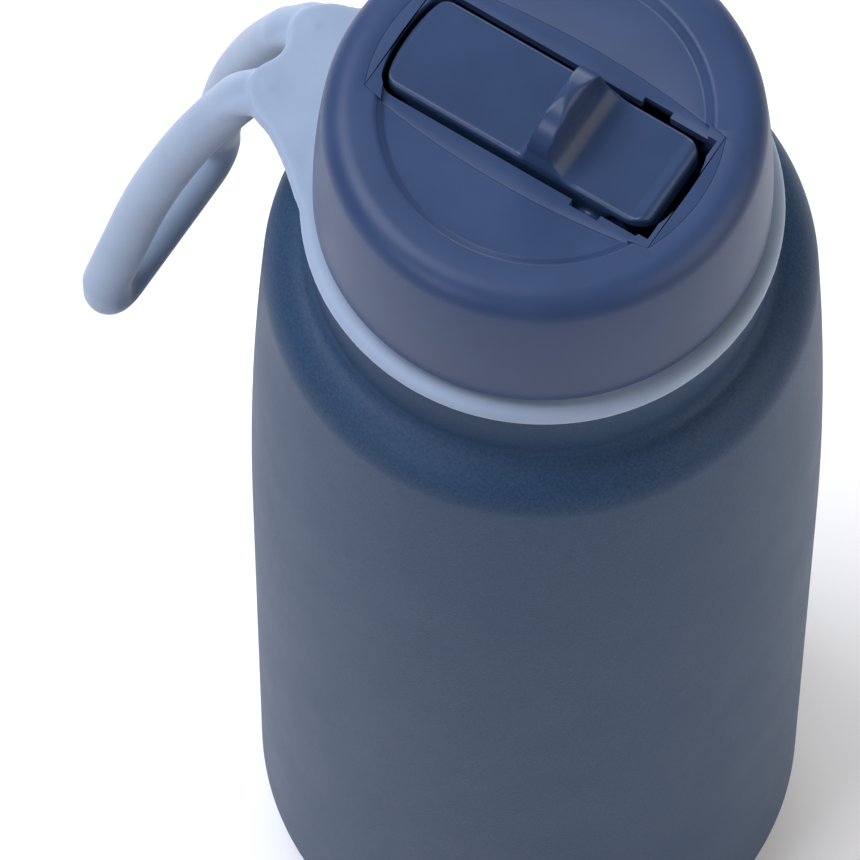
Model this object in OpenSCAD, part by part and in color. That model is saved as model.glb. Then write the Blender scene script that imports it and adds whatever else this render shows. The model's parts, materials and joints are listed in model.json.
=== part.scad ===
// Large insulated water bottle with a screw lid, a flip-up spout and a silicone carry loop.
// Millimetres. Origin: centre of the foot on the surface it stands on, +Z up.
// The handle and the mouthpiece end of the spout point to -X; the spout turns about Y.

/* [Body] */
// Diameter of the straight part of the body
body_d = 91.5; // [88:0.5:100]
// Height of the step that the handle ring rests on
step_h = 211; // [205:1:260]
// Height at which the side starts to draw in towards the shoulder
straight_h = 111; // [60:1:125]
// Radius of the rounded bottom edge
base_fillet = 13; // [6:0.5:15]
// Radius of the rounded shoulder
shoulder_r = 8.5; // [7:0.5:9]
// Sheet thickness of the outer shell
shell_t = 0.6; // [0.5:0.1:1]
// Sheet thickness of the inner vessel
vessel_t = 0.5; // [0.4:0.1:0.8]
// Width of the vacuum gap
vacuum_gap = 3; // [2.5:0.1:3.4]

/* [Neck and thread] */
// Outer radius of the threaded collar
collar_r = 30; // [29.8:0.1:30.1]
// Height of the collar above the step
collar_h = 14; // [13.5:0.1:14.5]
// Rise of the thread in one turn
pitch = 4; // [3.6:0.1:4]
// Height of the thread ridges
ridge_h = 1; // [0.8:0.1:1.1]

/* [Lid] */
// Outer radius of the lid at its lower edge
lid_r = 34.9; // [34.8:0.1:37]
// Height of the lid
lid_h = 27; // [27:0.5:30]
// Wall thickness of the lid shell
lid_t = 1.6; // [1.4:0.1:1.7]
// Radius of the lid's top edge
lid_round = 4.5; // [3:0.5:5.5]
// Inward lean of the wall where it meets the top edge, in degrees
lid_lean = 7; // [5:0.5:8]
// Radius of the sunk floor in the lid's top
recess_r = 24.6; // [24:0.2:25]
// Depth of the sunk floor
recess_d = 1.2; // [0.8:0.1:1.4]

/* [Spout] */
// Distance of the spout's pivot from the lid's axis
pivot_x = 13.5; // [13:0.1:13.8]
// Depth of the pivot below the lid's top
pivot_drop = 7; // [6.8:0.1:7.2]
// Half the width of the spout's channel
channel_w = 9.7; // [9.6:0.1:10]
// Half the width of the spout
spout_w = 8.4; // [8:0.1:8.6]
// Height of the thumb fin above the lid's top
fin_h = 10; // [8:0.5:12]
// Radius of the drinking passage
passage_r = 2.1; // [1.8:0.1:2.3]

/* [Handle] */
// Outer radius of the handle's ring
ring_r = 37; // [36.5:0.1:38]
// Thickness of the ring
ring_t = 3; // [2.6:0.1:3.2]
// Radius of the rounded loop
loop_r = 3.9; // [3.4:0.1:4.1]

/* [Straw] */
// Outer radius of the straw
straw_r = 3.4; // [3:0.1:3.6]
// Wall thickness of the straw
straw_t = 0.8; // [0.6:0.1:1]

/* [Hidden] */
$fn = 96;

fine = 0.01;
body_r = body_d / 2;

// The side leaves the straight part on one long arc and reaches the shoulder leaning this much
side_lean = 4.1;
shoulder_drop = 20;
side_top = step_h - shoulder_drop;
side_arc = (side_top - straight_h) / sin(side_lean);
side_top_r = body_r - side_arc * (1 - cos(side_lean));
// The shoulder's rounding stops at this angle, where the hollow to the neck begins
shoulder_end = 70;
shoulder_x = side_top_r - shoulder_r * cos(side_lean);
shoulder_z = side_top - shoulder_r * sin(side_lean);
hollow_r = 2.5;
hollow_x = shoulder_x + (shoulder_r + hollow_r) * cos(shoulder_end);
hollow_z = shoulder_z + (shoulder_r + hollow_r) * sin(shoulder_end);
neck_r = hollow_x - hollow_r;
neck_edge = 1;

mouth_z = step_h + collar_h;
mouth_r = collar_r - 1.8;
foot_r = body_r - base_fillet;
foot_w = 2.2;
foot_in = foot_r - foot_w;
skirt_h = 4;

vessel_r = body_r - shell_t - vacuum_gap;
vessel_floor = 9.6;
vessel_fillet = 11;

lid_z = step_h + 6;
lid_top = lid_z + lid_h;
lid_round_z = lid_top - lid_round * (1 - sin(lid_lean));
lid_arc = (lid_round_z - lid_z) / sin(lid_lean);
lid_round_x = lid_r - lid_arc * (1 - cos(lid_lean)) - lid_round * cos(lid_lean);
lid_under = lid_top - recess_d - 1.8;
floor_z = lid_top - recess_d;

liner_bore = collar_r + 1.7;
liner_r = liner_bore + 1;
liner_floor = mouth_z + 2;
liner_t = 1.4;
thread_z = step_h + 4.8;

pivot_z = lid_top - pivot_drop;
pocket_r = 12.8;
pocket_t = 1;
channel_floor = pivot_z - 1.4;
channel_end = 25.2;
hub_r = 6.2;
trunnion_r = 2.4;
trunnion_w = channel_w + 0.8;
collar_half_x = 11;
collar_half_y = channel_w + pocket_t;
nozzle_r = 3.2;
nozzle_z = pivot_z - pocket_r - 11;
boss_r = 3.8;
boss_z = pivot_z - 9;
// The spout stops when its fin reaches the rim
spout_open = 85;

ring_z = step_h + 0.5;
ring_mid = ring_z + ring_t / 2;

shell_blue = [0.20, 0.25, 0.34];
lid_blue = [0.18, 0.23, 0.34];
silicone_blue = [0.55, 0.63, 0.72];
steel = [0.72, 0.73, 0.74];
copper = [0.72, 0.45, 0.32];
clear_white = [0.86, 0.88, 0.90];

// Points on an arc about c, from angle a to angle b
function arc(c, r, a, b, n) = [for (i = [0 : n]) let (t = a + (b - a) * i / n)
    c + r * [cos(t), sin(t)]];
function back_to_front(list) = [for (i = [len(list) - 1 : -1 : 0]) list[i]];

// Outside of the body from the foot to the neck, set in by s
function side_line(s) = concat(
    arc([foot_r, base_fillet], base_fillet - s, -90, 0, 8),
    arc([body_r - side_arc, straight_h], side_arc - s, 0, side_lean, 8),
    arc([shoulder_x, shoulder_z], shoulder_r - s, side_lean, shoulder_end, 10),
    arc([hollow_x, hollow_z], hollow_r + s, 180 + shoulder_end, 180, 5));

// One screw ridge: a flat-topped bead on a helix, root radius r0, crest radius r1
module ridge(r0, r1, z0, a0, a1) {
    steps = ceil((a1 - a0) / 10);
    root = 1.1;
    crest = 0.5;
    points = [for (i = [0 : steps]) let (
        a = a0 + (a1 - a0) * i / steps,
        z = z0 + pitch * a / 360,
        fade = min(1, min(i, steps - i) / 4),
        r = r0 + (r1 - r0) * (0.15 + 0.85 * fade))
        each [[r0 * cos(a), r0 * sin(a), z - root], [r * cos(a), r * sin(a), z - crest],
              [r * cos(a), r * sin(a), z + crest], [r0 * cos(a), r0 * sin(a), z + root]]];
    outward = r1 > r0;
    first = [0, 1, 2, 3];
    last = [for (k = [3 : -1 : 0]) steps * 4 + k];
    sides = [for (i = [0 : steps - 1], k = [0 : 3]) let (a = i * 4 + k, b = i * 4 + (k + 1) % 4)
        each [[a, a + 4, b + 4], [a, b + 4, b]]];
    faces = concat([first], [last], sides);
    polyhedron(points, outward ? [for (f = faces) back_to_front(f)] : faces, convexity = 6);
}

// Drawn steel outer shell with the screw collar rolled into its neck
module outer_shell() color(shell_blue) {
    union() {
        rotate_extrude() polygon(concat(
            side_line(0),
            arc([neck_r - neck_edge, step_h - neck_edge], neck_edge, 0, 90, 4),
            [[collar_r, step_h], [collar_r, mouth_z - 0.4], [collar_r - 0.4, mouth_z],
             [collar_r - shell_t, mouth_z], [collar_r - shell_t, step_h - shell_t],
             [neck_r - shell_t, step_h - shell_t]],
            back_to_front(side_line(shell_t)),
            [[foot_in + shell_t, shell_t], [foot_in + shell_t, skirt_h],
             [foot_in, skirt_h], [foot_in, 0]]));
        ridge(collar_r - 0.4, collar_r + ridge_h, thread_z, 0, 540);
    }
}

// Drawn steel inner vessel, welded to the shell at the mouth
function vessel_line(s) = concat(
    arc([vessel_r - vessel_fillet, vessel_floor + vessel_fillet], vessel_fillet - s, -90, 0, 8),
    arc([vessel_r - side_arc, straight_h], side_arc - s, 0, side_lean, 6),
    arc([side_top_r - shell_t - vacuum_gap - 8, side_top - 4], 8 - s, side_lean, 78, 8),
    arc([mouth_r + vessel_t + 3, side_top + 11], 3 + s, 258, 180, 5));

module inner_vessel() color(steel)
    rotate_extrude() polygon(concat(
        [[0, vessel_floor]],
        vessel_line(0),
        [[mouth_r + vessel_t, mouth_z - vessel_t], [collar_r - shell_t, mouth_z - vessel_t],
         [collar_r - shell_t, mouth_z], [mouth_r, mouth_z]],
        back_to_front(vessel_line(vessel_t)),
        [[0, vessel_floor + vessel_t]]));

// Copper foil wrapped round the straight part of the vessel
module heat_shield_foil() color(copper)
    translate([0, 0, vessel_floor + vessel_fillet + 2])
        difference() {
            cylinder(r = vessel_r + 0.4, h = straight_h - vessel_floor - vessel_fillet - 4);
            translate([0, 0, -1]) cylinder(r = vessel_r + 0.1, h = straight_h);
        }

// Pressed bottom of the shell, welded inside the foot, with the evacuation dimple
module shell_base() color(steel)
    rotate_extrude() polygon([
        [3, 3], [foot_in - 2.2, 3], [foot_in - 1, 1.6], [foot_in - 0.1, 1.6],
        [foot_in - 0.1, 3.4], [foot_in - 1, 3.8], [3, 3.8]]);

// Bead of brazing glass that closes the evacuation hole
module vacuum_plug() color("dimgray")
    translate([0, 0, 3.1]) cylinder(r = 2.9, h = 0.9, $fn = 48);

// Getter capsule that keeps the vacuum, spot-welded under the vessel
module getter() color("silver")
    translate([16, 0, vessel_floor - 2.2]) cylinder(r = 5, h = 2.1, $fn = 48);

// Painted cover plate pressed in over the welded bottom
module base_cover() color(shell_blue)
    rotate_extrude() polygon([
        [0, 1.7], [foot_in - 5, 1.7], [foot_in - 4, 1.2], [foot_in - 2.6, 1.2],
        [foot_in - 2.6, 2], [foot_in - 3.6, 2.5], [0, 2.5]]);

// Centre line of one leg of the carry loop down to the grip, with heights from the step
leg_line = [[-44.5, -7.2, 0], [-48, -7, -1.6], [-52, -7.6, -8.5], [-58.8, -9.5, -25],
            [-65.2, -12, -46], [-69.8, -14.6, -67], [-71.8, -16.4, -77]];
// Half of the plate's outline, from the ring out to the middle of its notch
plate_edge = [[-22, -27], [-31, -20.6], [-36, -16], [-41.5, -12], [-46.5, -10.4], [-49, -6.4],
              [-47.3, -1.5]];
// The plate is this much thinner than the ring on each side
plate_in = 0.2;
grip_bend = 4.4;
grip_z = -84;
leg_end = leg_line[len(leg_line) - 1];

// Catmull-Rom point between b and c
function spline(a, b, c, d, t) = b + 0.5 * t * ((c - a)
    + t * ((2 * a - 5 * b + 4 * c - d) + t * (3 * b - a - 3 * c + d)));
function between(p, n) = [for (i = [0 : len(p) - 2], k = [0 : n - 1])
    spline(p[max(i - 1, 0)], p[i], p[i + 1], p[min(i + 2, len(p) - 1)], k / n)];
function other_side(p) = [for (i = [len(p) - 1 : -1 : 0]) [p[i][0], -p[i][1], p[i][2]]];

half_loop = concat(
    between(leg_line, 2),
    [for (a = [180 : 22.5 : 270]) [leg_end[0], leg_end[1] + grip_bend * (1 + cos(a)),
        grip_z + grip_bend * (1 + sin(a))]],
    [[leg_end[0], leg_end[1] / 3, grip_z]]);
loop_line = concat(half_loop, other_side(half_loop));

// Round bar along a line of points
module bar(line, r)
    for (i = [1 : len(line) - 1]) hull() {
        translate(line[i - 1]) sphere(r = r, $fn = 18);
        translate(line[i]) sphere(r = r, $fn = 18);
    }

// Silicone ring that turns on the neck, moulded in one piece with the carry loop
module handle() color(silicone_blue)
    union() {
        rotate_extrude() polygon(concat(
            [[collar_r + 0.5, ring_z]],
            arc([ring_r - ring_t / 2, ring_mid], ring_t / 2, -90, 90, 8),
            [[collar_r + 0.5, ring_z + ring_t]]));
        translate([0, 0, ring_z + plate_in]) linear_extrude(ring_t - 2 * plate_in)
            difference() {
                polygon(concat(plate_edge, back_to_front([for (p = plate_edge) [p[0], -p[1]]])));
                circle(r = collar_r + 3);
            }
        translate([0, 0, step_h]) bar(loop_line, loop_r);
    }

// Flat silicone washer between the liner and the mouth
module lid_gasket() color(clear_white)
    translate([0, 0, mouth_z]) difference() {
        cylinder(r = collar_r + 1.2, h = liner_floor - mouth_z);
        translate([0, 0, -1]) cylinder(r = mouth_r - 0.2, h = 5);
    }

// Plan outline of the moulded insert that holds the spout
module cradle_plan(gap) {
    end_r = 27.3 - gap;
    waist = 13.3 - gap;
    bow = 135;
    intersection() {
        circle(r = end_r, $fn = 128);
        translate([0, bow - waist]) circle(r = bow, $fn = 256);
        translate([0, waist - bow]) circle(r = bow, $fn = 256);
    }
}

// Plan outline of the spout's channel, with round ends about the lid's axis
module channel_plan(grow) {
    intersection() {
        circle(r = channel_end + grow, $fn = 128);
        square([80, 2 * (channel_w + grow)], center = true);
    }
}

function lid_line(s) = concat(
    arc([lid_r - lid_arc, lid_z], lid_arc - s, 0, lid_lean, 8),
    arc([lid_round_x, lid_round_z - lid_round * sin(lid_lean)], lid_round - s, lid_lean, 90, 8));

// Moulded lid: skirt, rounded edge and top with the sunk floor, open for the cradle
module lid_shell() color(lid_blue)
    difference() {
        rotate_extrude() polygon(concat(
            lid_line(0),
            [[0, lid_top], [0, lid_under], [lid_round_x - 1, lid_under]],
            back_to_front(lid_line(lid_t))));
        difference() {
            translate([0, 0, floor_z]) cylinder(r = recess_r, h = 5);
            translate([0, 0, floor_z - 1]) linear_extrude(10) cradle_plan(0);
        }
        translate([0, 0, lid_under - 2]) linear_extrude(10) cradle_plan(0);
    }

// Block in the shape of the pocket that the spout turns in, r about the pivot and w wide
module pocket(r, w) translate([pivot_x, 0, pivot_z])
    rotate([90, 0, 0]) cylinder(r = r, h = 2 * w, center = true);

// Insert with the spout's channel, the pivot seats and the drinking nozzle
module spout_cradle() color(lid_blue)
    difference() {
        union() {
            translate([0, 0, lid_under]) linear_extrude(lid_top - lid_under) cradle_plan(0.06);
            translate([0, 0, channel_floor - pocket_t])
                linear_extrude(lid_under + fine - channel_floor + pocket_t)
                    channel_plan(pocket_t);
            intersection() {
                pocket(pocket_r + pocket_t, channel_w + pocket_t);
                translate([0, -20, 0]) cube([60, 40, lid_under]);
            }
            translate([pivot_x - collar_half_x, -collar_half_y, liner_floor - 0.5])
                cube([2 * collar_half_x, 2 * collar_half_y, 4]);
            translate([pivot_x, 0, nozzle_z])
                cylinder(r = nozzle_r, h = boss_z - nozzle_z - 3, $fn = 48);
        }
        translate([0, 0, floor_z]) linear_extrude(5) difference() {
            circle(r = recess_r);
            channel_plan(0.4);
        }
        translate([0, 0, floor_z]) linear_extrude(5) channel_plan(0.5);
        translate([0, 0, channel_floor]) linear_extrude(20) channel_plan(0);
        difference() {
            pocket(pocket_r, channel_w);
            translate([pivot_x, 0, 0]) cylinder(r = boss_r, h = boss_z, $fn = 48);
        }
        pocket(trunnion_r + 0.1, trunnion_w + 0.2);
        translate([pivot_x - trunnion_r, -trunnion_w - 0.2, pivot_z])
            cube([2 * trunnion_r, 2 * trunnion_w + 0.4, 20]);
        translate([pivot_x, 0, nozzle_z - 1]) cylinder(r = passage_r, h = 30, $fn = 48);
    }

// Soft ring that seals the cradle in the liner's opening
module cradle_seal() color(clear_white)
    translate([pivot_x, 0, liner_floor]) linear_extrude(liner_t) difference() {
        square([2 * collar_half_x + 1.6, 2 * collar_half_y + 1.6], center = true);
        square([2 * collar_half_x + 0.1, 2 * collar_half_y + 0.1], center = true);
    }

// Inner cap with the screw thread, welded up into the lid shell
module lid_liner() color(lid_blue)
    union() {
        difference() {
            translate([0, 0, lid_z + 0.4])
                cylinder(r = liner_r, h = liner_floor + liner_t - lid_z - 0.4);
            translate([0, 0, lid_z - 1]) cylinder(r = liner_bore, h = liner_floor - lid_z + 1);
            translate([pivot_x, 0, liner_floor])
                cube([2 * collar_half_x + 1.8, 2 * collar_half_y + 1.8, 10], center = true);
            translate([-14, 0, lid_z]) cylinder(r = 2, h = 20, $fn = 48);
        }
        ridge(liner_bore + 0.4, liner_bore - 1.2, thread_z + pitch / 2, 135, 585);
    }

// Duckbill valve that lets air in as water leaves
module vent_valve() color(clear_white)
    translate([-14, 0, liner_floor]) rotate_extrude($fn = 48) polygon([
        [0, -3.4], [0.9, -3.4], [2.9, -0.1], [1.9, -0.1], [1.9, liner_t + 0.1],
        [3.4, liner_t + 0.1], [3.4, liner_t + 0.9], [1.1, liner_t + 0.9], [1.1, -0.6], [0, -2.4]]);

// Soft seat between the nozzle's boss and the spout's hub
module spout_seal() color(clear_white)
    difference() {
        translate([pivot_x, 0, boss_z]) cylinder(r = boss_r, h = 4, $fn = 48);
        pocket(hub_r + 0.15, channel_w);
        translate([pivot_x, 0, boss_z - 1]) cylinder(r = passage_r, h = 10, $fn = 48);
    }

// Sleeve that joins the straw to the nozzle
module straw_connector() color(clear_white)
    translate([pivot_x, 0, 0]) difference() {
        translate([0, 0, nozzle_z - 9]) cylinder(r = straw_r + 1.4, h = 18, $fn = 48);
        translate([0, 0, nozzle_z]) cylinder(r = nozzle_r, h = 20, $fn = 48);
        translate([0, 0, nozzle_z - 10]) cylinder(r = straw_r, h = 10, $fn = 48);
    }

// Long straw that reaches down to the vessel's floor
module straw() color(clear_white)
    translate([pivot_x, 0, vessel_floor + 5]) difference() {
        cylinder(r = straw_r, h = nozzle_z - vessel_floor - 5, $fn = 48);
        translate([0, 0, -1]) cylinder(r = straw_r - straw_t, h = 400, $fn = 48);
        translate([-10, -10, -10]) rotate([0, -25, 0]) cube([30, 20, 8]);
    }

// Side outline of the spout about its pivot: bar, thumb fin, scoop and lip
function spout_side() = let (top = pivot_drop - 0.4, crest = pivot_drop + fin_h) concat(
    [[-38, -0.8], [-38, top - 1.6], [-36.4, top], [-12.3, top], [-11.9, top + 0.8]],
    arc([-9.6, crest - 1.6], 1.6, 170, 10, 5),
    arc([-3, top + 5], 5, 180, 270, 6),
    [[8.6, top], [9.3, top + 0.4], [10, top + 0.2], [10.5, top - 1], [10.2, 4.3],
     [4, 4.3], [0, -0.8]]);

// Plan outline of the spout, with the round ends of the bar and the plate
module spout_plan() {
    intersection() {
        circle(r = 24.3, $fn = 128);
        square([80, 2 * spout_w], center = true);
    }
}

// Flip-up spout: drinking bar, thumb fin, covering plate, hub and trunnions in one moulding
module spout() color(lid_blue)
    difference() {
        union() {
            intersection() {
                translate([pivot_x, 0, pivot_z]) rotate([90, 0, 0])
                    linear_extrude(2 * spout_w, center = true) polygon(spout_side());
                linear_extrude(400) spout_plan();
                translate([0, 0, lid_top - 6]) rotate([0, 90, 0])
                    linear_extrude(100, center = true) fin_front();
            }
            pocket(hub_r, spout_w - 0.6);
            pocket(trunnion_r, trunnion_w);
        }
        translate([-60, 0, pivot_z + 2.6]) rotate([0, 90, 0])
            cylinder(r = passage_r, h = 60 + pivot_x, $fn = 48);
        translate([pivot_x, 0, pivot_z]) rotate([0, 90 + 90 - spout_open, 0])
            cylinder(r = passage_r, h = 20, $fn = 48);
    }

// Front outline of the spout, drawn upwards along -X: straight sides and the arched fin
module fin_front() {
    half = spout_w;
    round_r = half - 0.8;
    top = 6 + fin_h;
    square([30, 2 * half], center = true);
    polygon(concat(
        [[0, -half], [0, half]],
        arc([round_r - top, 0], round_r, 90, 270, 16)));
}

outer_shell();
inner_vessel();
heat_shield_foil();
shell_base();
vacuum_plug();
getter();
base_cover();
handle();
lid_gasket();
lid_shell();
spout_cradle();
cradle_seal();
lid_liner();
vent_valve();
spout_seal();
straw_connector();
straw();
spout();
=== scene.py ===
import json
from math import atan2, cos, pi, radians, sin

import bpy
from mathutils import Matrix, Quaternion, Vector


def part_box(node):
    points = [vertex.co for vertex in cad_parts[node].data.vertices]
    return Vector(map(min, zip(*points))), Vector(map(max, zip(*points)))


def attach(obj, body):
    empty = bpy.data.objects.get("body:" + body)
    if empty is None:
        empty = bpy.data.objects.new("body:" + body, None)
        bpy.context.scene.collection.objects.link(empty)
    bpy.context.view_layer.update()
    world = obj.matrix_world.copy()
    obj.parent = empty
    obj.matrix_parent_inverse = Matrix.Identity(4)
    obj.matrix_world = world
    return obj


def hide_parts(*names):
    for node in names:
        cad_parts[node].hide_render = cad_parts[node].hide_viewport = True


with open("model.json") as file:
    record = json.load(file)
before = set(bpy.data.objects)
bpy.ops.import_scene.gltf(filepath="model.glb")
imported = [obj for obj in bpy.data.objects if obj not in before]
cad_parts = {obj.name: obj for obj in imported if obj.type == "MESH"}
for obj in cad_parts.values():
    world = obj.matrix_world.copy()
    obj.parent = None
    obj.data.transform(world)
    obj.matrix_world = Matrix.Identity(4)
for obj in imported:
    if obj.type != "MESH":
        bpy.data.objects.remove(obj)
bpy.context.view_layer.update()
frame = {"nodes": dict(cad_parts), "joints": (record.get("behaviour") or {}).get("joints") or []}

# The studio: a pale floor that runs far past the bottle, one long lens from above the right
# front, and plain soft lights. The bottle stands upright on the floor at the origin.
MM = 0.001
lid_low, lid_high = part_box("lid_shell")
AZIMUTH, ELEVATION, ROLL = radians(32.7), radians(65), radians(0.11)
LENS, DISTANCE = 390.6, 1.4146
# The middle of the lid's lower edge lies this far right of and above what the camera aims at
AIM_RIGHT, AIM_UP = 17.1, 36.1
looking = Vector((-sin(AZIMUTH) * cos(ELEVATION), cos(AZIMUTH) * cos(ELEVATION), -sin(ELEVATION)))
held = (-looking).to_track_quat("Z", "Y") @ Quaternion((0, 0, 1), ROLL)
aim = Vector((0, 0, lid_low.z)) - held @ Vector((AIM_RIGHT * MM, AIM_UP * MM, 0))
bpy.ops.object.camera_add(location=aim - looking * DISTANCE, rotation=held.to_euler())
camera = bpy.context.object
camera.data.sensor_width = 36
camera.data.lens = LENS
camera.data.clip_end = 20
bpy.context.scene.camera = camera
bpy.context.scene.view_settings.view_transform = "Standard"


def linear(colour):
    """A hex sRGB colour as the linear RGBA that a shader takes."""
    parts = [int(colour[i:i + 2], 16) / 255 for i in (1, 3, 5)]
    return [p / 12.92 if p <= 0.04045 else ((p + 0.055) / 1.055) ** 2.4 for p in parts] + [1]


def setting(made, **settings):
    """Sets a node's own properties or its inputs; an underscore in a name stands for a space."""
    for name, value in settings.items():
        label = name.replace("_", " ")
        if label in made.inputs:
            made.inputs[label].default_value = value
        else:
            setattr(made, name, value)


def node(tree, kind, links=(), **settings):
    """Adds a node with its settings; links are pairs of an input's name and an output."""
    made = tree.nodes.new(kind)
    setting(made, **settings)
    for name, output in links:
        tree.links.new(output, made.inputs[name])
    return made


def finish(name):
    """A new material, its tree, its shader and the piece's own coordinates."""
    made = bpy.data.materials.new(name)
    made.use_nodes = True
    place = node(made.node_tree, "ShaderNodeTexCoord").outputs["Object"]
    return made, made.node_tree, made.node_tree.nodes["Principled BSDF"], place


def dress(piece, made):
    """Gives a piece or a CAD node its one material."""
    piece.data.materials.clear()
    piece.data.materials.append(made)


def soft_light(name, place, size, power, tint):
    """A square softbox in metres, aimed at the upper half of the bottle."""
    bpy.ops.object.light_add(type="AREA", location=place)
    lamp = bpy.context.object
    lamp.name = name
    lamp.data.size = size
    lamp.data.energy = power
    lamp.data.color = linear(tint)[:3]
    towards = Vector((0, 0, 0.16)) - Vector(place)
    lamp.rotation_euler = towards.to_track_quat("-Z", "Y").to_euler()


soft_light("right_softbox", (0.92, 0.2, 0.6), 0.8, 6, "#fff6ec")
soft_light("top_softbox", (-0.5, -0.14, 1.1), 0.7, 13, "#f2f6ff")
soft_light("shoulder_strip", (-0.18, -0.78, 0.6), 0.3, 2.5, "#f0efff")
soft_light("back_softbox", (-0.65, 1.0, 0.45), 1.0, 12, "#f6f8ff")

world = bpy.data.worlds.new("studio")
world.use_nodes = True
setting(world.node_tree.nodes["Background"], Color=linear("#f4f6fa"), Strength=0.22)
bpy.context.scene.world = world

bpy.ops.object.select_all(action="DESELECT")
bpy.ops.mesh.primitive_plane_add(size=6)
floor = bpy.context.object
floor.name = "floor"
# Matte background paper: an even pale white with no gloss of its own.
paper, tree, shader, place = finish("matte_paper")
setting(shader, Base_Color=linear("#f8f8f8"), Roughness=0.95, Specular_IOR_Level=0.1)
dress(floor, paper)

# The outer shell: drawn stainless steel, hydroformed to its shoulder and powder coated. The
# screw collar is rolled from the same sheet, and its thread stands on the outside.
SHELL_T = 0.6
BODY_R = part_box("outer_shell")[1].x / MM
MOUTH_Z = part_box("outer_shell")[1].z / MM
STEP_Z = lid_low.z / MM - 6
FILLET, STRAIGHT_Z, SIDE_TOP, LEAN = 13, 111, STEP_Z - 20, radians(4.1)
SIDE_ARC = (SIDE_TOP - STRAIGHT_Z) / sin(LEAN)
SHOULDER_R, SHOULDER_END, HOLLOW_R = 8.5, radians(70), 2.5
SHOULDER = (BODY_R - SIDE_ARC * (1 - cos(LEAN)) - SHOULDER_R * cos(LEAN),
            SIDE_TOP - SHOULDER_R * sin(LEAN))
HOLLOW = (SHOULDER[0] + (SHOULDER_R + HOLLOW_R) * cos(SHOULDER_END),
          SHOULDER[1] + (SHOULDER_R + HOLLOW_R) * sin(SHOULDER_END))
NECK_R = HOLLOW[0] - HOLLOW_R
COLLAR_R = 30
FOOT_IN = BODY_R - FILLET - 2.2


def arc(centre, radius, start, end, steps):
    """Points on an arc, from one angle to the other, ends included."""
    turns = [start + (end - start) * i / steps for i in range(steps + 1)]
    return [(centre[0] + radius * cos(a), centre[1] + radius * sin(a)) for a in turns]


def side_line(inset):
    """The body's outline from the foot to the neck, in millimetres, set in by inset."""
    return (arc((BODY_R - FILLET, FILLET), FILLET - inset, -pi / 2, 0, 16)
            + arc((BODY_R - SIDE_ARC, STRAIGHT_Z), SIDE_ARC - inset, 0, LEAN, 12)
            + arc(SHOULDER, SHOULDER_R - inset, LEAN, SHOULDER_END, 20)
            + arc(HOLLOW, HOLLOW_R + inset, pi + SHOULDER_END, pi, 10))


def drawn(name, points):
    """A line drawn from point to point, in millimetres, by extruding one vertex; in edit mode."""
    bpy.ops.object.select_all(action="DESELECT")
    bpy.ops.mesh.primitive_plane_add(size=MM)
    piece = bpy.context.object
    piece.name = piece.data.name = name
    bpy.ops.object.mode_set(mode="EDIT")
    bpy.ops.mesh.merge(type="CENTER")
    bpy.ops.transform.translate(value=Vector(points[0]) * MM)
    for before, after in zip(points, points[1:]):
        step = (Vector(after) - Vector(before)) * MM
        bpy.ops.mesh.extrude_region_move(TRANSFORM_OT_translate={"value": step})
    return piece


def turned(name, outline, sides=192):
    """A closed outline of (radius, height) in millimetres, turned about the bottle's axis."""
    ends = outline if outline[0] == outline[-1] else outline + outline[:1]
    piece = drawn(name, [(r, 0, z) for r, z in ends])
    bpy.ops.mesh.select_all(action="SELECT")
    bpy.ops.mesh.spin(steps=sides, angle=2 * pi, center=(0, 0, 0), axis=(0, 0, 1))
    bpy.ops.mesh.select_all(action="SELECT")
    bpy.ops.mesh.remove_doubles(threshold=0.002 * MM)
    bpy.ops.mesh.delete_loose()
    bpy.ops.mesh.normals_make_consistent(inside=False)
    bpy.ops.object.mode_set(mode="OBJECT")
    return piece


def apply(piece, kind, **settings):
    """Adds a modifier to a piece with its settings and applies it."""
    bpy.context.view_layer.objects.active = piece
    change = piece.modifiers.new(kind.lower(), kind)
    for name, value in settings.items():
        setattr(change, name, value)
    bpy.ops.object.modifier_apply(modifier=change.name)


def joined(piece, *others):
    """Joins the others into the piece."""
    bpy.ops.object.select_all(action="DESELECT")
    for part in (piece, *others):
        part.select_set(True)
    bpy.context.view_layer.objects.active = piece
    bpy.ops.object.join()
    return piece


def smooth_by_angle(piece, angle=30):
    """Smooth shading but for the edges that turn sharper than angle, in degrees."""
    bpy.ops.object.select_all(action="DESELECT")
    piece.select_set(True)
    bpy.context.view_layer.objects.active = piece
    bpy.ops.object.shade_smooth_by_angle(angle=radians(angle))


outer_shell = turned("outer_shell_coated", (
    side_line(0)
    + arc((NECK_R - 1, STEP_Z - 1), 1, 0, pi / 2, 6)
    + [(COLLAR_R, STEP_Z), (COLLAR_R, MOUTH_Z - 0.4), (COLLAR_R - 0.4, MOUTH_Z),
       (COLLAR_R - SHELL_T, MOUTH_Z), (COLLAR_R - SHELL_T, STEP_Z - SHELL_T),
       (NECK_R - SHELL_T, STEP_Z - SHELL_T)]
    + side_line(SHELL_T)[::-1]
    + [(FOOT_IN + SHELL_T, SHELL_T), (FOOT_IN + SHELL_T, 4), (FOOT_IN, 4), (FOOT_IN, 0)]), 256)

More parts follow.
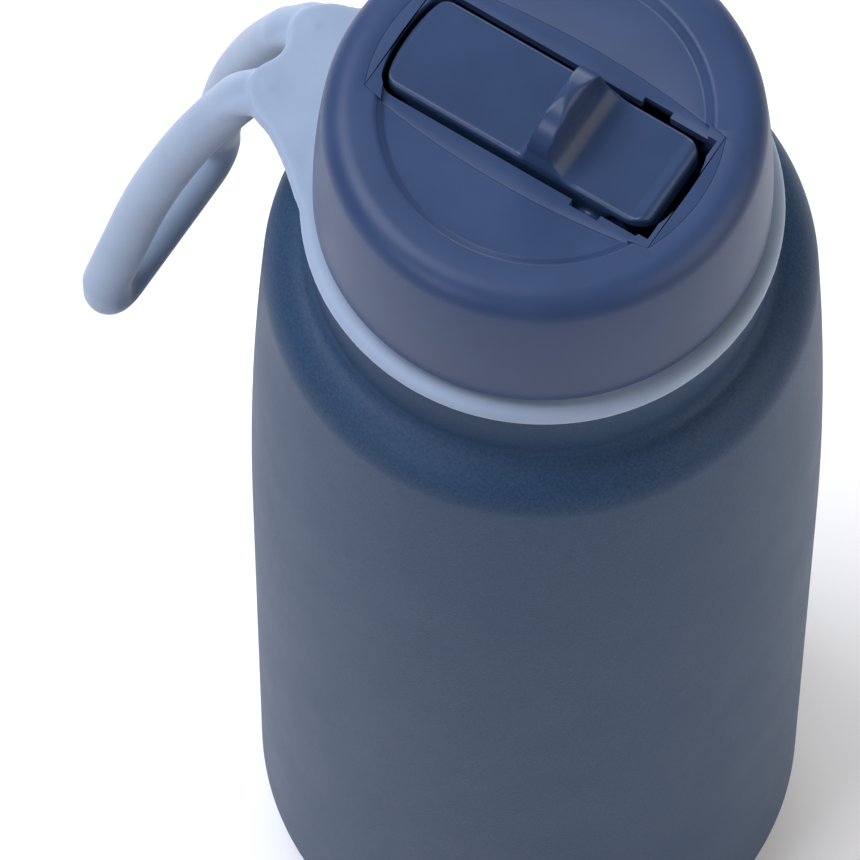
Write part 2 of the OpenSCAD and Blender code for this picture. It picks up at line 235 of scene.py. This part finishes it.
PITCH, TURNS, THREAD_Z = 4, 1.5, STEP_Z + 4.8
bead = [(COLLAR_R - 0.4, -1.1), (COLLAR_R + 1, -0.5), (COLLAR_R + 1, 0.5), (COLLAR_R - 0.4, 1.1)]
thread = drawn("thread", [(r, 0, THREAD_Z + z) for r, z in bead + bead[:1]])
bpy.ops.mesh.select_all(action="SELECT")
bpy.ops.mesh.remove_doubles(threshold=0.002 * MM)
bpy.ops.object.mode_set(mode="OBJECT")
apply(thread, "SCREW", axis="Z", angle=2 * pi * TURNS, screw_offset=TURNS * PITCH * MM, steps=216,
      render_steps=216, use_merge_vertices=False)
bpy.ops.object.mode_set(mode="EDIT")
bpy.ops.mesh.select_all(action="SELECT")
bpy.ops.mesh.fill_holes(sides=4)
bpy.ops.mesh.normals_make_consistent(inside=False)
bpy.ops.object.mode_set(mode="OBJECT")
joined(outer_shell, thread)
smooth_by_angle(outer_shell, 35)

# Fine-grained powder coat on steel: matte, with a dense orange-peel grain that scatters the
# light into specks where it glances. The real grain is about 0.25 mm and is drawn at 0.4 mm.
powder_coat, tree, shader, place = finish("fine_grain_powder_coat")
GRAIN, CLOUD = 0.4 * MM, 14 * MM
grain = node(tree, "ShaderNodeTexNoise", [("Vector", place)], Scale=1 / GRAIN, Detail=2,
             Roughness=0.6)
cloud = node(tree, "ShaderNodeTexNoise", [("Vector", place)], Scale=1 / CLOUD, Detail=3)
shade = node(tree, "ShaderNodeValToRGB", [("Fac", grain.outputs["Fac"])])
shade.color_ramp.elements[0].position = 0.32
shade.color_ramp.elements[0].color = linear("#21354c")
shade.color_ramp.elements[1].position = 0.7
shade.color_ramp.elements[1].color = linear("#2b425e")
tree.links.new(shade.outputs["Color"], shader.inputs["Base Color"])
dull = node(tree, "ShaderNodeMapRange", [("Value", cloud.outputs["Fac"])], To_Min=0.42, To_Max=0.52)
tree.links.new(dull.outputs["Result"], shader.inputs["Roughness"])
bump = node(tree, "ShaderNodeBump", [("Height", grain.outputs["Fac"])], Strength=0.55,
            Distance=0.09 * MM)
tree.links.new(bump.outputs["Normal"], shader.inputs["Normal"])
setting(shader, IOR=1.5, Specular_IOR_Level=0.15)
dress(outer_shell, powder_coat)
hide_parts("outer_shell")
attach(outer_shell, "bottle")

# The vessel and the welded bottom: stainless steel sheet, electropolished inside after it is
# drawn, so it is bright with faint rings from the drawing.
steel, tree, shader, place = finish("electropolished_stainless_steel")
rings = node(tree, "ShaderNodeMapping", [("Vector", place)])
rings.inputs["Scale"].default_value = (0.02, 0.02, 1)
drawing = node(tree, "ShaderNodeTexNoise", [("Vector", rings.outputs["Vector"])],
               Scale=1 / (0.5 * MM), Detail=4)
polish = node(tree, "ShaderNodeMapRange", [("Value", drawing.outputs["Fac"])],
              To_Min=0.2, To_Max=0.36)
tree.links.new(polish.outputs["Result"], shader.inputs["Roughness"])
bump = node(tree, "ShaderNodeBump", [("Height", drawing.outputs["Fac"])], Strength=0.15,
            Distance=0.02 * MM)
tree.links.new(bump.outputs["Normal"], shader.inputs["Normal"])
setting(shader, Base_Color=linear("#c4c6c8"), Metallic=1.0)
dress(frame["nodes"]["inner_vessel"], steel)
dress(frame["nodes"]["shell_base"], steel)

# The heat shield: thin copper foil wrapped round the vessel, inside the vacuum gap. It is
# bright, and slightly creased from the wrapping.
copper, tree, shader, place = finish("creased_copper_foil")
crease = node(tree, "ShaderNodeTexNoise", [("Vector", place)], Scale=1 / (6 * MM), Detail=6,
              Distortion=1.5)
bump = node(tree, "ShaderNodeBump", [("Height", crease.outputs["Fac"])], Strength=0.5,
            Distance=0.3 * MM)
tree.links.new(bump.outputs["Normal"], shader.inputs["Normal"])
setting(shader, Base_Color=linear("#d98e6a"), Metallic=1.0, Roughness=0.22)
dress(frame["nodes"]["heat_shield_foil"], copper)

# The vacuum plug: a bead of brazing glass, melted over the hole that the air is drawn out of.
# It is dark, glossy and a little cloudy.
glass, tree, shader, place = finish("fused_brazing_glass")
cloud = node(tree, "ShaderNodeTexNoise", [("Vector", place)], Scale=1 / (0.8 * MM), Detail=3)
shade = node(tree, "ShaderNodeValToRGB", [("Fac", cloud.outputs["Fac"])])
shade.color_ramp.elements[0].color = linear("#1c1d20")
shade.color_ramp.elements[1].color = linear("#3a3b3e")
tree.links.new(shade.outputs["Color"], shader.inputs["Base Color"])
setting(shader, Roughness=0.15, IOR=1.55)
dress(frame["nodes"]["vacuum_plug"], glass)

# The getter: a pressed metal capsule, spot-welded under the vessel, that holds the vacuum.
# Its dull grey powder gives it an uneven, half matte skin.
getter, tree, shader, place = finish("pressed_getter_metal")
speck = node(tree, "ShaderNodeTexNoise", [("Vector", place)], Scale=1 / (0.3 * MM), Detail=3)
dull = node(tree, "ShaderNodeMapRange", [("Value", speck.outputs["Fac"])], To_Min=0.35, To_Max=0.6)
tree.links.new(dull.outputs["Result"], shader.inputs["Roughness"])
setting(shader, Base_Color=linear("#a2a3a6"), Metallic=1.0)
dress(frame["nodes"]["getter"], getter)

# The base cover: a pressed plate that snaps in over the weld. It is coated together with the
# shell, so it has the same grain.
dress(frame["nodes"]["base_cover"], powder_coat)

# The handle: one soft silicone moulding. A flat ring turns on the neck under the lid, a plate
# flares out of it, and two legs leave the plate's notch and droop to a rounded grip.
RING_OUT, RING_T = 37, 3
RING_MID = STEP_Z + 0.5 + RING_T / 2
PLATE_T, HOLE_R, HANDLE_VOXEL = 2.8, COLLAR_R + 3, 0.42


def spline(points, steps):
    """A smooth line through points, with steps to each stretch."""
    line = []
    for i in range(len(points) - 1):
        a, b = Vector(points[max(i - 1, 0)]), Vector(points[i])
        c, d = Vector(points[i + 1]), Vector(points[min(i + 2, len(points) - 1)])
        for t in (k / steps for k in range(steps)):
            line.append(b + 0.5 * t * ((c - a) + t * ((2 * a - 5 * b + 4 * c - d)
                                                      + t * (3 * b - a - 3 * c + d))))
    return line + [Vector(points[-1])]


def tube(name, line, radii):
    """A round bar along a line of points in millimetres, with a radius for each point."""
    bpy.ops.object.select_all(action="DESELECT")
    bpy.ops.curve.primitive_nurbs_path_add()
    path = bpy.context.object
    path.name = name
    path.data.splines.clear()
    run = path.data.splines.new("POLY")
    run.points.add(len(line) - 1)
    for point, place, radius in zip(run.points, line, radii):
        point.co = (*(Vector(place) * MM), 1)
        point.radius = radius
    path.data.bevel_depth = MM
    path.data.bevel_resolution = 8
    path.data.use_fill_caps = True
    bpy.ops.object.convert(target="MESH")
    return bpy.context.object


def mirrored(line):
    """The same line on the other side of the bottle's middle plane, drawn backwards."""
    return [Vector((p[0], -p[1], p[2])) for p in reversed(line)]


handle = turned("handle_loop", (
    [(COLLAR_R + 0.5, RING_MID - RING_T / 2)]
    + arc((RING_OUT - RING_T / 2, RING_MID), RING_T / 2, -pi / 2, pi / 2, 12)
    + [(COLLAR_R + 0.5, RING_MID + RING_T / 2)]))
PLATE_EDGE = [(-22, -26.5), (-31, -20.4), (-36.5, -15.9), (-41.5, -12.6), (-45.5, -11), (-48.5, -8),
              (-48.9, -4.6), (-47.6, -1.7), (-47.2, 0)]
half_edge = [(p[0], p[1], RING_MID - PLATE_T / 2) for p in spline([(*p, 0) for p in PLATE_EDGE], 6)]
plate = drawn("plate", half_edge + mirrored(half_edge)[1:] + half_edge[:1])
bpy.ops.mesh.select_all(action="SELECT")
bpy.ops.mesh.remove_doubles(threshold=0.01 * MM)
bpy.ops.mesh.edge_face_add()
bpy.ops.mesh.extrude_region_move(TRANSFORM_OT_translate={"value": (0, 0, PLATE_T * MM)})
bpy.ops.mesh.select_all(action="SELECT")
bpy.ops.mesh.normals_make_consistent(inside=False)
bpy.ops.object.mode_set(mode="OBJECT")
bpy.ops.object.select_all(action="DESELECT")
bpy.ops.mesh.primitive_cylinder_add(vertices=96, radius=HOLE_R * MM, depth=10 * MM,
                                    location=(0, 0, RING_MID * MM))
neck_hole = bpy.context.object


def cut(piece, tool, how="DIFFERENCE"):
    """Cuts the tool out of the piece, or adds or keeps what they share; the tool is used up."""
    apply(piece, "BOOLEAN", object=tool, operation=how, solver="MANIFOLD")
    bpy.data.objects.remove(tool)


cut(plate, neck_hole)
LEG = [(-43.5, -6.2, 1.6), (-48, -6.5, -0.4), (-52, -7.2, -8), (-58.8, -9.5, -25), (-65.2, -12, -46),
       (-69.8, -14.6, -67), (-71.8, -16.2, -77)]
BEND_R, GRIP_Z = 4.4, -84
leg = spline([(x, y, z + STEP_Z) for x, y, z in LEG], 8)
corner = [Vector((LEG[-1][0], LEG[-1][1] + BEND_R - y, GRIP_Z + STEP_Z + BEND_R + z))
          for y, z in arc((0, 0), BEND_R, 0, -pi / 2, 8)][1:]
half_loop = leg + corner
loop_line = half_loop + mirrored(half_loop)
LOOP_R, ROOT_R = 3.9, 1.7
swell = [min(1, i / 14) ** 0.7 for i in range(len(half_loop))]
half_radii = [ROOT_R + (LOOP_R - ROOT_R) * s for s in swell]
loop = tube("loop", loop_line, half_radii + half_radii[::-1])
roots = []
for side in (-1, 1):
    for aside in (-2.8, 2.8):
        root = spline([(-40.5, side * 6.6 + aside, 1.9 + STEP_Z), (-46.5, side * 6.6 + aside, 0.9 + STEP_Z),
                       (-51, side * 7 + aside * 0.7, -5 + STEP_Z),
                       (-56, side * 8.5 + aside * 0.4, -17 + STEP_Z)], 6)
        roots.append(tube("root", root, [1.45 + 0.05 * i for i in range(len(root))]))
joined(handle, plate, loop, *roots)
apply(handle, "REMESH", mode="VOXEL", voxel_size=HANDLE_VOXEL * MM)
apply(handle, "SMOOTH", factor=0.5, iterations=9)
smooth_by_angle(handle, 180)

# Moulded silicone: soft matte with a faint powdery sheen, slightly translucent, and with the
# very fine texture of an etched mould. The 0.15 mm texture is drawn at 0.3 mm.
silicone, tree, shader, place = finish("moulded_matte_silicone")
etch = node(tree, "ShaderNodeTexNoise", [("Vector", place)], Scale=1 / (0.3 * MM), Detail=2)
cloud = node(tree, "ShaderNodeTexNoise", [("Vector", place)], Scale=1 / (9 * MM), Detail=3)
shade = node(tree, "ShaderNodeValToRGB", [("Fac", cloud.outputs["Fac"])])
shade.color_ramp.elements[0].position = 0.25
shade.color_ramp.elements[0].color = linear("#8292a8")
shade.color_ramp.elements[1].position = 0.75
shade.color_ramp.elements[1].color = linear("#8b9bb1")
tree.links.new(shade.outputs["Color"], shader.inputs["Base Color"])
bump = node(tree, "ShaderNodeBump", [("Height", etch.outputs["Fac"])], Strength=0.25,
            Distance=0.04 * MM)
tree.links.new(bump.outputs["Normal"], shader.inputs["Normal"])
setting(shader, Roughness=0.55, IOR=1.41, Sheen_Weight=0.12, Sheen_Roughness=0.5,
        Subsurface_Weight=0.1, Subsurface_Scale=2 * MM)
dress(handle, silicone)
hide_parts("handle")
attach(handle, "handle")

# The lid's seals and the straw's sleeve: moulded clear silicone, pushed into their grooves by
# hand. It is soft and milky where it is thick.
clear_silicone, tree, shader, place = finish("translucent_seal_silicone")
cloud = node(tree, "ShaderNodeTexNoise", [("Vector", place)], Scale=1 / (2 * MM), Detail=3)
haze = node(tree, "ShaderNodeMapRange", [("Value", cloud.outputs["Fac"])], To_Min=0.38, To_Max=0.5)
tree.links.new(haze.outputs["Result"], shader.inputs["Roughness"])
setting(shader, Base_Color=linear("#dfe3e6"), IOR=1.41, Transmission_Weight=0.45,
        Subsurface_Weight=0.3, Subsurface_Scale=2 * MM)
for name in ("lid_gasket", "cradle_seal", "vent_valve", "spout_seal", "straw_connector"):
    dress(frame["nodes"][name], clear_silicone)

# The lid shell: injection-moulded polypropylene with a satin skin. Its wall bows in to a
# rounded edge, and its top has a shallow round recess and an opening for the spout's insert.
LID_R, LID_Z, LID_TOP = lid_high.x / MM, lid_low.z / MM, lid_high.z / MM
LID_T, EDGE_R, LID_LEAN = 1.6, 4.5, radians(7)
EDGE_Z = LID_TOP - EDGE_R * (1 - sin(LID_LEAN))
WALL_ARC = (EDGE_Z - LID_Z) / sin(LID_LEAN)
EDGE_X = LID_R - WALL_ARC * (1 - cos(LID_LEAN)) - EDGE_R * cos(LID_LEAN)
RECESS_R, FLOOR_Z, UNDER_Z = 24.6, LID_TOP - 1.2, LID_TOP - 3


def lid_line(inset):
    """The lid's outline from its lower edge to its top, set in by inset."""
    return (arc((LID_R - WALL_ARC, LID_Z), WALL_ARC - inset, 0, LID_LEAN, 12)
            + arc((EDGE_X, EDGE_Z - EDGE_R * sin(LID_LEAN)), EDGE_R - inset, LID_LEAN, pi / 2, 14))


INSERT_R, WAIST, BOW_R = 27.3, 13.3, 135
# Half the angle of each bow and of each end of the insert, up to the corner that they share
BOW, END = 0.18650, 0.41380


def plan(gap, z):
    """The insert's outline seen from above: two round ends and two sides that bow out."""
    end_r, waist, bow_r = INSERT_R - gap, WAIST - gap, BOW_R - gap
    outline = (arc((0, waist - bow_r), bow_r, pi / 2 - BOW, pi / 2 + BOW, 24)
               + arc((0, 0), end_r, pi - END, pi + END, 24)
               + arc((0, bow_r - waist), bow_r, -pi / 2 - BOW, -pi / 2 + BOW, 24)
               + arc((0, 0), end_r, -END, END, 24))
    return [(x, y, z) for x, y in outline]


def slab(name, outline, rise):
    """A flat outline made a solid that reaches rise, in millimetres, away from it."""
    piece = drawn(name, outline + outline[:1])
    bpy.ops.mesh.select_all(action="SELECT")
    bpy.ops.mesh.remove_doubles(threshold=0.01 * MM)
    bpy.ops.mesh.edge_face_add()
    bpy.ops.mesh.extrude_region_move(TRANSFORM_OT_translate={"value": Vector(rise) * MM})
    bpy.ops.mesh.select_all(action="SELECT")
    bpy.ops.mesh.normals_make_consistent(inside=False)
    bpy.ops.object.mode_set(mode="OBJECT")
    return piece


lid_shell = turned("lid_shell_moulded", (
    lid_line(0)
    + arc((RECESS_R + 1.3, LID_TOP - 1.1), 1.1, pi / 2, radians(150), 6)
    + arc((RECESS_R - 0.9, FLOOR_Z + 0.7), 0.7, radians(-30), -pi / 2, 4)
    + [(0, FLOOR_Z), (0, UNDER_Z), (EDGE_X - 1, UNDER_Z)]
    + lid_line(LID_T)[::-1]))
cut(lid_shell, slab("opening", plan(0, UNDER_Z - 2), (0, 0, 10)))
apply(lid_shell, "BEVEL", width=0.12 * MM, segments=2, limit_method="ANGLE",
      angle_limit=radians(50))
smooth_by_angle(lid_shell, 40)


def moulded(name, light, dark, low, high, grain_mm, depth):
    """Polypropylene with a skin between two colours and between two roughnesses."""
    made, tree, shader, place = finish(name)
    skin = node(tree, "ShaderNodeTexNoise", [("Vector", place)], Scale=1 / (grain_mm * MM),
                Detail=2)
    flow = node(tree, "ShaderNodeTexNoise", [("Vector", place)], Scale=1 / (11 * MM), Detail=4)
    shade = node(tree, "ShaderNodeValToRGB", [("Fac", flow.outputs["Fac"])])
    shade.color_ramp.elements[0].position = 0.3
    shade.color_ramp.elements[0].color = linear(dark)
    shade.color_ramp.elements[1].position = 0.7
    shade.color_ramp.elements[1].color = linear(light)
    tree.links.new(shade.outputs["Color"], shader.inputs["Base Color"])
    dull = node(tree, "ShaderNodeMapRange", [("Value", flow.outputs["Fac"])], To_Min=low,
                To_Max=high)
    tree.links.new(dull.outputs["Result"], shader.inputs["Roughness"])
    bump = node(tree, "ShaderNodeBump", [("Height", skin.outputs["Fac"])], Strength=0.3,
                Distance=depth * MM)
    tree.links.new(bump.outputs["Normal"], shader.inputs["Normal"])
    setting(shader, IOR=1.49, Specular_IOR_Level=0.2)
    return made


# Satin polypropylene from a lightly blasted mould: navy, with an even soft gloss. The 0.1 mm
# skin is drawn at 0.25 mm.
satin_plastic = moulded("satin_moulded_polypropylene", "#2e3f60", "#2a3a5a", 0.36, 0.44, 0.25, 0.02)
dress(lid_shell, satin_plastic)
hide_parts("lid_shell")
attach(lid_shell, "lid")

# The liner: the inner cap with the screw thread, welded up into the lid. It is moulded of the
# same polypropylene, left plain.
dress(frame["nodes"]["lid_liner"], satin_plastic)

# The spout's insert: one moulding with the channel, the pivot seats and the nozzle, pressed
# into the lid's opening. It has the lid's colour, and its edges are lightly rounded.
flip = next(j for j in frame["joints"] if j["name"] == "spout_flip")
PIVOT_X, _, PIVOT_Z = (value / MM for value in flip["pos_m"])
CHANNEL_END, CHANNEL_W, CHANNEL_Z, WALL = 25.2, 9.7, PIVOT_Z - 1.4, 1
POCKET_R, BLOCK_X, NOZZLE_Z, BOSS_Z = 12.8, 11, PIVOT_Z - 23.8, PIVOT_Z - 9
NOZZLE_R, BOSS_R, PASSAGE_R, TRUNNION_R, SEAT_W = 3.2, 3.8, 2.1, 2.5, 10.7


def round_ended(end_r, half_w, left_corner, right_corner, z):
    """A strip along X with ends about the lid's axis and rounded corners, at one height."""
    points = []
    for corner, side in ((right_corner, 1), (left_corner, -1)):
        y = half_w - corner
        x = ((end_r - corner) ** 2 - y ** 2) ** 0.5
        lean = atan2(y, x)
        end = arc((0, 0), end_r, 0, lean, 8)[:-1] + arc((x, y), corner, lean, pi / 2, 8)
        points += [(side * px, side * py) for px, py in [(px, -py) for px, py in end[:0:-1]] + end]
    return [(px, py, z) for px, py in points]


def rod(radius, low, high, sides=96):
    """A round rod between two points in millimetres."""
    low, high = Vector(low), Vector(high)
    bpy.ops.object.select_all(action="DESELECT")
    bpy.ops.mesh.primitive_cylinder_add(
        vertices=sides, radius=radius * MM, depth=(high - low).length * MM,
        location=(low + high) / 2 * MM,
        rotation=(high - low).to_track_quat("Z", "Y").to_euler())
    bpy.ops.object.transform_apply(location=True, rotation=True, scale=True)
    return bpy.context.object


def across(radius, half_width, sides=96):
    """A rod across the bottle on the spout's pivot."""
    return rod(radius, (PIVOT_X, -half_width, PIVOT_Z), (PIVOT_X, half_width, PIVOT_Z), sides)


def block(low, high):
    """A rectangular block between two corners in millimetres."""
    x, y, z = high
    return slab("block", [low, (x, low[1], low[2]), (x, y, low[2]), (low[0], y, low[2])],
                (0, 0, z - low[2]))


cradle = slab("spout_cradle_moulded", plan(0.06, UNDER_Z), (0, 0, LID_TOP - UNDER_Z))
cut(cradle, slab("tub", round_ended(CHANNEL_END + WALL, CHANNEL_W + WALL, 4, 6,
                                    CHANNEL_Z - WALL), (0, 0, UNDER_Z + 0.5 - CHANNEL_Z + WALL)),
    "UNION")
drum = across(POCKET_R + WALL, CHANNEL_W + WALL, 192)
cut(drum, block((-20, -20, PIVOT_Z - 20), (45, 20, UNDER_Z + 0.4)), "INTERSECT")
cut(drum, block((-20, -20, PIVOT_Z - 20), (0, 20, PIVOT_Z + 20)))
cut(cradle, drum, "UNION")
cut(cradle, block((PIVOT_X - BLOCK_X, -CHANNEL_W - WALL, MOUTH_Z + 1.5),
                  (PIVOT_X + BLOCK_X, CHANNEL_W + WALL, MOUTH_Z + 5.5)), "UNION")
cut(cradle, rod(NOZZLE_R, (PIVOT_X, 0, NOZZLE_Z), (PIVOT_X, 0, BOSS_Z - 3)), "UNION")
recess = rod(RECESS_R, (0, 0, FLOOR_Z), (0, 0, FLOOR_Z + 5), 192)
cut(cradle, recess)
cut(cradle, slab("channel", round_ended(CHANNEL_END, CHANNEL_W, 3.4, 5.4, CHANNEL_Z), (0, 0, 20)))
pocket = across(POCKET_R, CHANNEL_W, 192)
cut(pocket, rod(BOSS_R, (PIVOT_X, 0, PIVOT_Z - 20), (PIVOT_X, 0, BOSS_Z)))
cut(cradle, pocket)
cut(cradle, across(TRUNNION_R, SEAT_W))
cut(cradle, block((PIVOT_X - TRUNNION_R, -SEAT_W, PIVOT_Z), (PIVOT_X + TRUNNION_R, SEAT_W, PIVOT_Z + 20)))
cut(cradle, rod(PASSAGE_R, (PIVOT_X, 0, NOZZLE_Z - 1), (PIVOT_X, 0, BOSS_Z + 5)))
apply(cradle, "BEVEL", width=0.35 * MM, segments=3, limit_method="ANGLE", angle_limit=radians(40))
smooth_by_angle(cradle, 40)
dress(cradle, satin_plastic)
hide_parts("spout_cradle")
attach(cradle, "lid")

# The straw: extruded translucent plastic, cut at a slant at its foot and pushed into its
# sleeve. Faint lines run along it from the die.
straw, tree, shader, place = finish("extruded_straw_plastic")
streak = node(tree, "ShaderNodeMapping", [("Vector", place)])
streak.inputs["Scale"].default_value = (1, 1, 0.01)
lines = node(tree, "ShaderNodeTexNoise", [("Vector", streak.outputs["Vector"])],
             Scale=1 / (0.4 * MM), Detail=3)
haze = node(tree, "ShaderNodeMapRange", [("Value", lines.outputs["Fac"])], To_Min=0.25, To_Max=0.4)
tree.links.new(haze.outputs["Result"], shader.inputs["Roughness"])
setting(shader, Base_Color=linear("#dde4e8"), IOR=1.5, Transmission_Weight=0.5,
        Subsurface_Weight=0.2, Subsurface_Scale=2 * MM)
dress(frame["nodes"]["straw"], straw)

# The spout: one glossier moulding that flips up about its trunnions. It has a flat drinking
# bar, a thumb fin with a scooped face, a covering plate with a lip, and a hub below.
SPOUT_W, HUB_R, PIN_R, PIN_W, OPENS = 8.4, 6.2, 2.4, 10.5, radians(85)
BAR_TOP, CREST = 6.6, 17
SPOUT_END, MOUTH_CORNER, LIP_CORNER, SPOUT_VOXEL = 24.3, 2.5, 5, 0.24
BELOW_Z, SHELF_Z, BORE_Z = PIVOT_Z - 10, PIVOT_Z + 6.8, PIVOT_Z + 2.6
ARCH_R, ARCH_TOP = 7.8, PIVOT_Z + CREST
side = ([(-38, -0.8), (-38, BAR_TOP - 1.4)] + arc((-36.6, BAR_TOP - 1.4), 1.4, pi, pi / 2, 5)
        + arc((-13.1, BAR_TOP + 0.9), 0.9, -pi / 2, radians(-8), 4)
        + arc((-9.6, CREST - 1.7), 1.7, radians(170), radians(10), 9)
        + arc((-3, BAR_TOP + 5), 5, pi, radians(268), 12)
        + [(6.6, BAR_TOP)]
        + arc((7.6, BAR_TOP - 1.5), 2, radians(80), radians(5), 6)
        + [(10.2, 4.3), (4, 4.3), (0, -0.8)])
spout = slab("spout_moulded", [(PIVOT_X + x, -SPOUT_W, PIVOT_Z + z) for x, z in side],
             (0, 2 * SPOUT_W, 0))
# The long edges of both side faces are rounded as moulded, and the small steps are not
apply(spout, "BEVEL", width=1.1 * MM, segments=4, limit_method="ANGLE", angle_limit=radians(80))
top_view = slab("top_view", round_ended(SPOUT_END, SPOUT_W, MOUTH_CORNER, LIP_CORNER,
                                        BELOW_Z), (0, 0, 40))
cut(spout, top_view, "INTERSECT")
arch = ([(-SPOUT_W - 1, BELOW_Z), (-SPOUT_W - 1, SHELF_Z), (-SPOUT_W, SHELF_Z)]
        + arc((0, ARCH_TOP - ARCH_R), ARCH_R, pi, 0, 32)
        + [(SPOUT_W, SHELF_Z), (SPOUT_W + 1, SHELF_Z), (SPOUT_W + 1, BELOW_Z)])
cut(spout, slab("front_view", [(-30, y, z) for y, z in arch], (60, 0, 0)), "INTERSECT")
cut(spout, across(HUB_R, SPOUT_W - 0.6), "UNION")
cut(spout, across(PIN_R, PIN_W), "UNION")
apply(spout, "REMESH", mode="VOXEL", voxel_size=SPOUT_VOXEL * MM)
apply(spout, "SMOOTH", factor=0.5, iterations=5)
# The drinking passage runs through the bar to the hub, and down to the nozzle once it is open
cut(spout, rod(PASSAGE_R, (-46, 0, BORE_Z), (PIVOT_X, 0, BORE_Z)))
cut(spout, rod(PASSAGE_R, (PIVOT_X, 0, PIVOT_Z),
               (PIVOT_X + 20 * sin(OPENS), 0, PIVOT_Z - 20 * cos(OPENS))))
smooth_by_angle(spout, 50)

# Polished polypropylene: the same navy, with a smoother and glossier skin from a polished mould.
gloss_plastic = moulded("polished_moulded_polypropylene", "#2c3d5d", "#283856", 0.26, 0.33, 0.3,
                        0.01)
dress(spout, gloss_plastic)
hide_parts("spout")
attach(spout, "spout")

bpy.context.view_layer.update()
